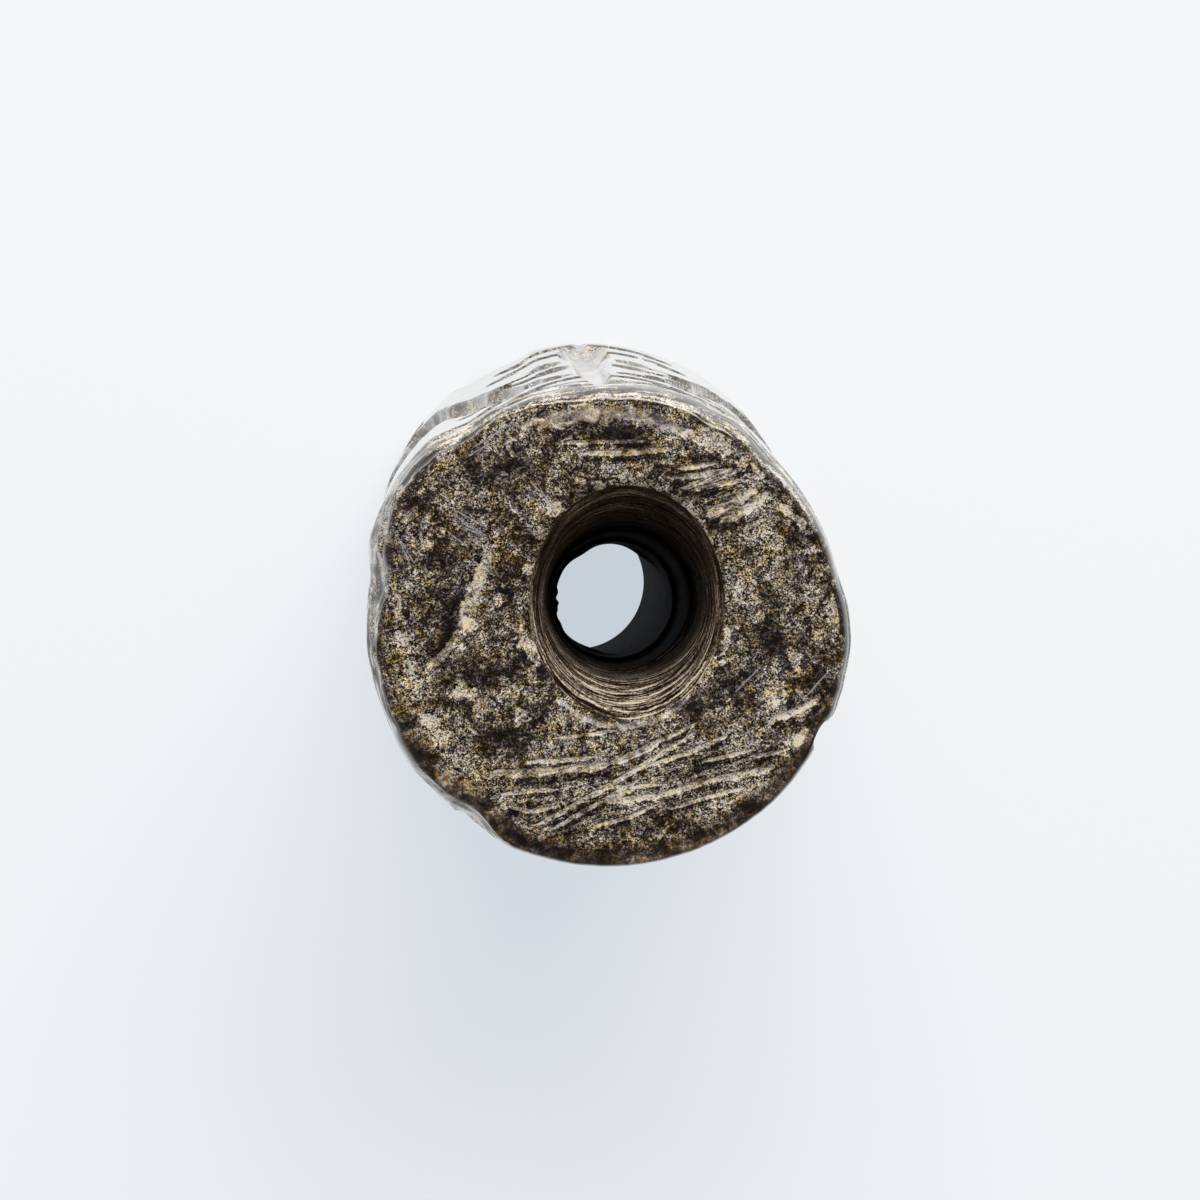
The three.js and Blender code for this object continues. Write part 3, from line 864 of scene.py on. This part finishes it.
def shape_stone(mesh):
    """Moves the spun block's points to the seal's real places and marks what the finish follows."""
    co = np.zeros(len(mesh.vertices) * 3)
    mesh.vertices.foreach_get("co", co)
    co = co.reshape(-1, 3)
    across = np.hypot(co[:, 0], co[:, 1]) - 1
    angle = np.arctan2(co[:, 1], co[:, 0])
    level = co[:, 2]
    inner = in_bore(angle, level)
    outer, wall_marks, edge_share = on_wall(angle, level)
    share = np.clip(across, 0, 1)[:, None]
    places = inner + (outer - inner) * share
    in_hole = across < 0.001
    on_side = across > 0.999
    on_face = (level > SEAL_HEIGHT - 1e-3) & ~in_hole

    # The relief of the end fades out round the rim and just inside the mouth.
    down = SEAL_HEIGHT - level
    relief = np.where(on_side, 1 - smooth(edge_share, 0, 0.5), 0.0)
    relief = np.where(in_hole, 1 - smooth(down, 0, 0.8), relief)
    relief = np.where(on_face & ~on_side, 1.0, relief)
    top = (relief > 0) | (on_side & (down < RIM_SPAN))
    end, dip = end_marks(places[top, :2])
    across_end = np.linalg.norm((outer - inner)[top], axis=1)
    from_mouth = across_end * share[top, 0]
    to_rim = across_end - from_mouth
    lip = 0.22 * np.clip(1 - from_mouth / 0.55, 0, 1) ** 2
    places[top, 2] -= (dip * smooth(to_rim, 0, 0.5) + lip) * relief[top]

    marks = {name: values * on_side for name, values in wall_marks.items()}
    for name, values in end.items():
        unmarked = np.zeros((len(co), *values.shape[1:]))
        unmarked[top] = values
        marks[name] = unmarked
    near_foot_rim = smooth(math.pi / 2 - np.abs(angle[top] + math.pi / 2), 0.15, 0.6)
    marks["calm"] = np.zeros(len(co))
    marks["calm"][top] = near_foot_rim * (1 - smooth(to_rim + 0.25 * wave(places[top], 0.8, 71), 0.25, 1.2))
    mesh.vertices.foreach_set("co", (places * MM).ravel())
    for name, values in marks.items():
        kind, field = ("FLOAT_VECTOR", "vector") if values.ndim == 2 else ("FLOAT", "value")
        layer = mesh.attributes.new(name, kind, "POINT")
        layer.data.foreach_set(field, values.astype(np.float32).ravel())
    corners = np.zeros(len(mesh.loops), int)
    mesh.loops.foreach_get("vertex_index", corners)
    bored = in_hole[corners].reshape(-1, 4).all(axis=1)
    rim_and_wall = on_side & (edge_share > 0)
    polished = rim_and_wall[corners].reshape(-1, 4).any(axis=1)
    mesh.polygons.foreach_set("material_index", np.where(bored, 2, polished).astype(np.int32))
    mesh.update()
    return sorted(name for name, values in marks.items() if values.ndim == 2)


class Finish:
    """A material, built up by adding nodes. Each step gives back the new node's output."""

    def __init__(self, name):
        self.material = bpy.data.materials.new(name)
        self.material.use_nodes = True
        self.tree = self.material.node_tree
        self.shader = self.tree.nodes["Principled BSDF"]
        coordinates = self.tree.nodes.new("ShaderNodeTexCoord")
        self.place = self.stretched(coordinates.outputs["Object"], (1 / MM, 1 / MM, 1 / MM))

    def put(self, socket, value):
        if isinstance(value, bpy.types.NodeSocket):
            self.tree.links.new(value, socket)
        else:
            socket.default_value = value

    def add(self, kind, values, output=0, **settings):
        node = self.tree.nodes.new(kind)
        for name, setting in settings.items():
            setattr(node, name, setting)
        for key, value in values.items():
            self.put(node.inputs[key], value)
        return node.outputs[output]

    def sum_up(self, operation, *values, clamp=False):
        return self.add("ShaderNodeMath", dict(enumerate(values)), operation=operation, use_clamp=clamp)

    def stretched(self, place, scale):
        return self.add("ShaderNodeVectorMath", {0: place, 1: scale}, operation="MULTIPLY")

    def moved(self, place, offset):
        return self.add("ShaderNodeVectorMath", {0: place, 1: offset}, operation="ADD")

    def turned(self, place, start, angle, scale):
        """The place seen from start, turned by the angle round the drum's axis and counted in scales."""
        turn = (0, 0, angle)
        values = {"Vector": place, "Location": start, "Rotation": turn, "Scale": scale}
        return self.add("ShaderNodeMapping", values, vector_type="TEXTURE")

    def cloud(self, place, size, detail=2.0, rough=0.5):
        values = {"Vector": place, "Scale": 1 / size, "Detail": detail, "Roughness": rough}
        return self.add("ShaderNodeTexNoise", values)

    def warped(self, place, size, reach):
        values = {"Vector": place, "Scale": 1 / size, "Detail": 1.0}
        drift = self.add("ShaderNodeTexNoise", values, output=1)
        drift = self.moved(drift, (-0.5, -0.5, -0.5))
        return self.moved(place, self.stretched(drift, (reach, reach, reach)))

    def grains(self, place, size):
        """Two random numbers for each grain."""
        cell = self.add("ShaderNodeTexVoronoi", {"Vector": place, "Scale": 1 / size}, output=1)
        first = self.add("ShaderNodeSeparateColor", {0: cell})
        return first, first.node.outputs[1]

    def mark(self, name):
        return self.add("ShaderNodeAttribute", {}, output=2, attribute_name=name)

    def lines(self, layers, ragged, shift=0.0, crisp=3.0):
        """1 on the lines of those layers and 0 off them. A shift moves them to the right in half widths."""
        shown = 0.0
        for layer in layers:
            place = self.add("ShaderNodeAttribute", {}, output=1, attribute_name=layer)
            split = self.tree.nodes.new("ShaderNodeSeparateXYZ")
            self.put(split.inputs[0], place)
            side, along, near = split.outputs
            side = self.sum_up("ABSOLUTE", self.sum_up("ADD", self.sum_up("ADD", side, ragged), shift))
            narrowed = self.sum_up("POWER", self.sum_up("ABSOLUTE", along), 5.0)
            inside = self.sum_up("SUBTRACT", self.sum_up("SUBTRACT", 1.15, narrowed), side)
            inside = self.sum_up("MULTIPLY", inside, crisp, clamp=True)
            shown = self.sum_up("MAXIMUM", self.sum_up("MULTIPLY", inside, near), shown)
        return shown

    def ranged(self, value, low, high, new_low=0.0, new_high=1.0):
        values = {"Value": value, "From Min": low, "From Max": high, "To Min": new_low, "To Max": new_high}
        return self.add("ShaderNodeMapRange", values)

    def blend(self, share, first, second, how="MIX"):
        values = {0: share, 6: first, 7: second}
        return self.add("ShaderNodeMix", values, output=2, data_type="RGBA", blend_type=how)

    def ramp(self, value, stops):
        node = self.tree.nodes.new("ShaderNodeValToRGB")
        elements = node.color_ramp.elements
        while len(elements) < len(stops):
            elements.new(0.5)
        for element, (position, colour) in zip(elements, stops):
            element.position = position
            element.color = (*colour, 1)
        self.put(node.inputs[0], value)
        return node.outputs[0]


# The stone's tones, from the blackest grain to the palest
STONE_TONES = (
    (0.05, (0.003, 0.0025, 0.0025)),
    (0.22, (0.0105, 0.0075, 0.0065)),
    (0.34, (0.030, 0.022, 0.019)),
    (0.45, (0.074, 0.060, 0.050)),
    (0.54, (0.150, 0.127, 0.100)),
    (0.62, (0.255, 0.222, 0.172)),
    (0.71, (0.400, 0.360, 0.295)),
    (0.82, (0.600, 0.560, 0.480)),
    (0.95, (0.840, 0.790, 0.690)),
)

# How the stone's colour drifts, from purple-grey to ochre, and where it is close to neutral
STONE_TINTS = (
    (0.24, (0.93, 0.97, 1.32)),
    (0.42, (0.98, 0.99, 1.08)),
    (0.56, (1.06, 1.00, 0.82)),
    (0.78, (1.50, 1.02, 0.26)),
)
NEUTRAL_HUE = 0.47

# Sizes of the stone's grains and clouds
FINE_GRAIN = 0.052
GRAIN = 0.125
CLOUD = 0.46
PATCH = 1.5
DRIFT = 0.8


def wall_parts(finish):
    """What changes the polished wall: each part, how much paler it is and how much warmer."""
    dusty = finish.ranged(finish.mark("engraved"), 0.05, 0.6)
    # Painted sheen: a paler, cooler band on the rim, streaked with threads, stands in for its reflection of
    # the lamp and room.
    silky = finish.mark("silky")
    painted_sheen_threads = finish.cloud(finish.stretched(finish.place, (0.28, 0.28, 1.7)), 1.0, 3.0, 0.65)
    painted_sheen_threads = finish.sum_up("MULTIPLY", finish.sum_up("SUBTRACT", painted_sheen_threads, 0.5), silky)
    return [
        (dusty, 0.27, 0.0),
        (finish.mark("broken"), 0.1, 0.03),
        (silky, 0.13, -0.06),
        (painted_sheen_threads, 3.0, 0.0),
    ]


def end_parts(finish, cloud, grain, scratch, painted_groove_shade):
    """What changes the worn end: each part, how much paler it is and how much warmer."""
    cream = finish.sum_up("MULTIPLY_ADD", grain, 0.25, -0.575)
    cream = finish.sum_up("MULTIPLY_ADD", cloud, 0.9, cream)
    cream = finish.ranged(finish.sum_up("ADD", cream, finish.mark("cream")), 0.24, 0.52)
    # Painted shade: a darker band on the lower side of each scratch stands in for the shadow inside its
    # groove.
    painted_groove_shade = finish.sum_up("SUBTRACT", painted_groove_shade, scratch, clamp=True)
    streak = finish.sum_up("MAXIMUM", streaks(finish, 24, 1.9, 0.07), streaks(finish, 12, 2.4, 0.09))
    rubbed = finish.mark("rubbed")
    rubbed_streak = finish.sum_up("MULTIPLY", finish.sum_up("SUBTRACT", streak, 0.25), rubbed)
    return [
        (cream, 0.34, 0.0),
        (scratch, 0.3, 0.0),
        (painted_groove_shade, -0.14, 0.0),
        (rubbed_streak, 0.2, -0.02),
        (rubbed, 0.02, -0.03),
        (finish.mark("ochre"), 0.03, 0.2),
        (finish.mark("dark"), -0.16, -0.1),
    ]


def stone_finish(name, layers, polished):
    """Dark granular stone with ochre and cream speckle, scratched on its end and polished on its wall."""
    finish = Finish(name)
    moved = finish.moved(finish.place, (7, 3, 5))
    fine, fine_hue = finish.grains(finish.warped(finish.place, 0.13, 0.09), FINE_GRAIN)
    grain, grain_hue = finish.grains(finish.warped(moved, 0.3, 0.2), GRAIN)
    cloud = finish.cloud(finish.place, CLOUD, 4.0, 0.65)
    patch = finish.cloud(finish.moved(finish.place, (11, 4, 2)), PATCH, 3.0, 0.6)
    kinds = {kind: [layer for layer in layers if layer.startswith(kind)] for kind in LINES_PX}
    ragged = finish.ranged(cloud, 0.3, 0.7, -0.35, 0.35)
    calm = finish.mark("calm")
    # Bands worn smooth; their paler, cooler colour below is partly a painted sheen.
    worn = finish.lines(kinds["worn"], ragged, crisp=1.4)
    even = finish.sum_up("MAXIMUM", calm, worn)
    if not polished:
        scratch = finish.lines(kinds["scratch"], ragged)
        even = finish.sum_up("MAXIMUM", even, finish.sum_up("MULTIPLY", scratch, 0.6))
        even = finish.sum_up("MAXIMUM", even, finish.sum_up("MULTIPLY", finish.mark("dark"), 0.6))

    # Each grain is paler or darker than the patch of stone that it lies in.
    base, coarse = (0.4, 0.7) if polished else (0.43, 1.0)
    spread = finish.sum_up("MULTIPLY_ADD", even, -0.7 * coarse, coarse)
    spread = finish.sum_up("MULTIPLY", spread, finish.ranged(patch, 0.36, 0.6, 0.62, 1.08))
    grains = finish.sum_up("MULTIPLY_ADD", fine, 0.86, -0.43)
    grains = finish.sum_up("ADD", grains, finish.sum_up("MULTIPLY_ADD", grain, 0.4, -0.2))
    pale = finish.sum_up("MULTIPLY_ADD", grains, spread, base)
    for part, weight in ((cloud, 1.1), (patch, 1.1)):
        pale = finish.sum_up("MULTIPLY_ADD", finish.sum_up("SUBTRACT", part, 0.5), weight, pale)
    hue = finish.sum_up("MULTIPLY_ADD", fine_hue, 0.36, 0.095)
    hue = finish.sum_up("MULTIPLY_ADD", grain_hue, 0.45, hue)
    drift = finish.cloud(finish.moved(finish.place, (3, 9, 1)), DRIFT, 3.0, 0.65)
    hue = finish.sum_up("MULTIPLY_ADD", finish.sum_up("SUBTRACT", drift, 0.5), 0.9, hue)

    # Marks make the grains paler or darker and change their colour.
    if polished:
        parts = wall_parts(finish)
    else:
        # Painted shade beside the scratches: the scratch lines shifted to their lower side.
        painted_groove_shade = finish.lines(kinds["scratch"], ragged, shift=1.7)
        parts = end_parts(finish, cloud, grain, scratch, painted_groove_shade)
    # The worn bands are paler and cooler partly as a painted sheen.
    parts += [(calm, -0.08, 0.05), (worn, 0.27, -0.1)]
    for part, paler, warmer in parts:
        pale = finish.sum_up("MULTIPLY_ADD", part, paler, pale)
        if warmer:
            hue = finish.sum_up("MULTIPLY_ADD", part, warmer, hue)
    # Painted shade: thin dark lines along the rim's crease, over a slight real dip.
    crack = finish.lines(kinds["crack"], 0.0)
    pale = finish.sum_up("MULTIPLY_ADD", crack, -0.35, pale)

    # The palest grains are close to neutral, and only the darker ones are ochre or purple.
    hue = finish.sum_up("SUBTRACT", hue, NEUTRAL_HUE)
    hue = finish.sum_up("MULTIPLY_ADD", hue, finish.ranged(pale, 0.5, 0.82, 1.0, 0.4), NEUTRAL_HUE)
    colour = finish.blend(1.0, finish.ramp(pale, STONE_TONES), finish.ramp(hue, STONE_TINTS), "MULTIPLY")
    # Painted glints: fine scratches painted bright bluish grey, standing in for the lamp caught in them.
    if not polished:
        hair = finish.lines(kinds["hair"], finish.sum_up("MULTIPLY", ragged, 0.5))
        hair = finish.sum_up("MULTIPLY", hair, finish.ranged(fine, 0.1, 0.6, 0.25, 0.9))
        colour = finish.blend(hair, colour, (0.42, 0.44, 0.49, 1))
    finish.put(finish.shader.inputs["Base Color"], colour)

    # The end is dull and granular. The wall is polished, with fine rings round it.
    rough = (0.45, 0.8)
    height = finish.sum_up("MULTIPLY_ADD", cloud, 0.8, finish.sum_up("MULTIPLY", fine, 0.35))
    distance, specular = 0.05, 0.12
    if polished:
        rough = (0.1, 0.26)
        rings = finish.cloud(finish.stretched(finish.place, (0.3, 0.3, 3.5)), 1.0, 2.0, 0.6)
        height = finish.sum_up("MULTIPLY_ADD", cloud, 0.15, rings)
        distance, specular = 0.02, 0.5
        finish.shader.inputs["Coat Weight"].default_value = 1.0
        finish.shader.inputs["Coat Roughness"].default_value = 0.12
        finish.shader.inputs["IOR"].default_value = 1.6
    else:
        height = finish.sum_up("MULTIPLY_ADD", scratch, -0.9, height)
    finish.put(finish.shader.inputs["Roughness"], finish.ranged(pale, 0.25, 0.75, *rough))
    bump = finish.add("ShaderNodeBump", {"Height": height, "Strength": 0.9, "Distance": distance * MM})
    finish.put(finish.shader.inputs["Normal"], bump)
    finish.shader.inputs["Specular IOR Level"].default_value = specular
    return finish.material


def streaks(finish, lean, length, width):
    """Long thin scratches that lean from the level of the end, from 0 to 1."""
    place = finish.turned(finish.place, (0, 0, 0), math.radians(lean), (length, width, 1.0))
    return finish.ranged(finish.cloud(place, 1.0, 2.0, 0.6), 0.52, 0.6)


# The bore's tones, from its dark rings to the dust and painted light in its mouth
BORE_TONES = (
    (0.12, (0.008, 0.006, 0.005)),
    (0.30, (0.040, 0.028, 0.018)),
    (0.45, (0.116, 0.082, 0.056)),
    (0.60, (0.310, 0.245, 0.185)),
    (0.80, (0.720, 0.640, 0.540)),
)


def bore_finish():
    """The drilled bore: fine rings, dusty in the mouth with painted light on its lamp side, a painted dark
    line at the mouth's edge, and painted shade that makes it dark below.
    """
    finish = Finish("drilled stone")
    place = finish.warped(finish.place, 0.7, 0.12)
    rings = finish.cloud(finish.stretched(place, (0.3, 0.3, 5.0)), 1.0, 3.0, 0.7)
    fine_rings = finish.cloud(finish.stretched(place, (0.5, 0.5, 14.0)), 1.0, 2.0, 0.6)
    dust, _ = finish.grains(finish.warped(finish.place, 0.22, 0.12), 0.08)
    split = finish.tree.nodes.new("ShaderNodeSeparateXYZ")
    finish.put(split.inputs[0], finish.place)
    height = split.outputs[2]
    mouth = finish.ranged(height, SEAL_HEIGHT - 4.2, SEAL_HEIGHT - 0.6)
    # Painted light: the mouth's dust is paler, and its rings show stronger, towards -y, the side that faces
    # the lamp.
    below = finish.ranged(split.outputs[1], 3.5, -3.0)
    dusty = finish.sum_up("MULTIPLY", mouth, finish.sum_up("MULTIPLY_ADD", below, 0.75, 0.25))
    pale = finish.sum_up("MULTIPLY_ADD", dusty, 0.22, 0.26)
    painted_lit_contrast = finish.sum_up("MULTIPLY_ADD", below, 0.6, 0.4)
    for part, weight in ((rings, 2.0), (fine_rings, 2.5), (dust, 0.4)):
        part = finish.sum_up("MULTIPLY", finish.sum_up("SUBTRACT", part, 0.5), painted_lit_contrast)
        pale = finish.sum_up("MULTIPLY_ADD", part, weight, pale)
    # Painted shade: a dark line just inside the mouth's edge, where the crease lies in shadow.
    edge = finish.ranged(height, SEAL_HEIGHT - 0.22, SEAL_HEIGHT - 0.1)
    pale = finish.sum_up("MULTIPLY_ADD", edge, -0.35, pale)
    colour = finish.ramp(pale, BORE_TONES)
    # Painted shade: the bore's colour goes nearly black deeper down, where little light reaches.
    depth = finish.ranged(height, SEAL_HEIGHT - 9, SEAL_HEIGHT - 3.5)
    colour = finish.blend(depth, (0.004, 0.0035, 0.003, 1), colour)
    finish.put(finish.shader.inputs["Base Color"], colour)
    finish.put(finish.shader.inputs["Roughness"], 0.6)
    relief = finish.sum_up("MULTIPLY_ADD", fine_rings, 0.5, rings)
    bump = finish.add("ShaderNodeBump", {"Height": relief, "Strength": 1.0, "Distance": 0.06 * MM})
    finish.put(finish.shader.inputs["Normal"], bump)
    finish.shader.inputs["Specular IOR Level"].default_value = 0.012
    return finish.material


def add_stone():
    mesh = spun_block()
    layers = shape_stone(mesh)
    mesh.materials.append(stone_finish("worn speckled stone", layers, False))
    mesh.materials.append(stone_finish("polished speckled stone", layers, True))
    mesh.materials.append(bore_finish())
    mesh.polygons.foreach_set("use_smooth", np.ones(len(mesh.polygons), bool))
    mesh.set_sharp_from_angle(angle=math.radians(50))
    stone = bpy.data.objects.new("seal_stone", mesh)
    bpy.context.scene.collection.objects.link(stone)
    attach(stone, "root")
    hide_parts("seal")


bpy.context.scene.view_settings.view_transform = "Standard"
add_camera()
add_surroundings()
add_floor()
add_softbox("window", (77, 489, 495), (0, 0, 10), (600, 450), 5.0, (1.0, 0.96, 0.9))
add_stone()
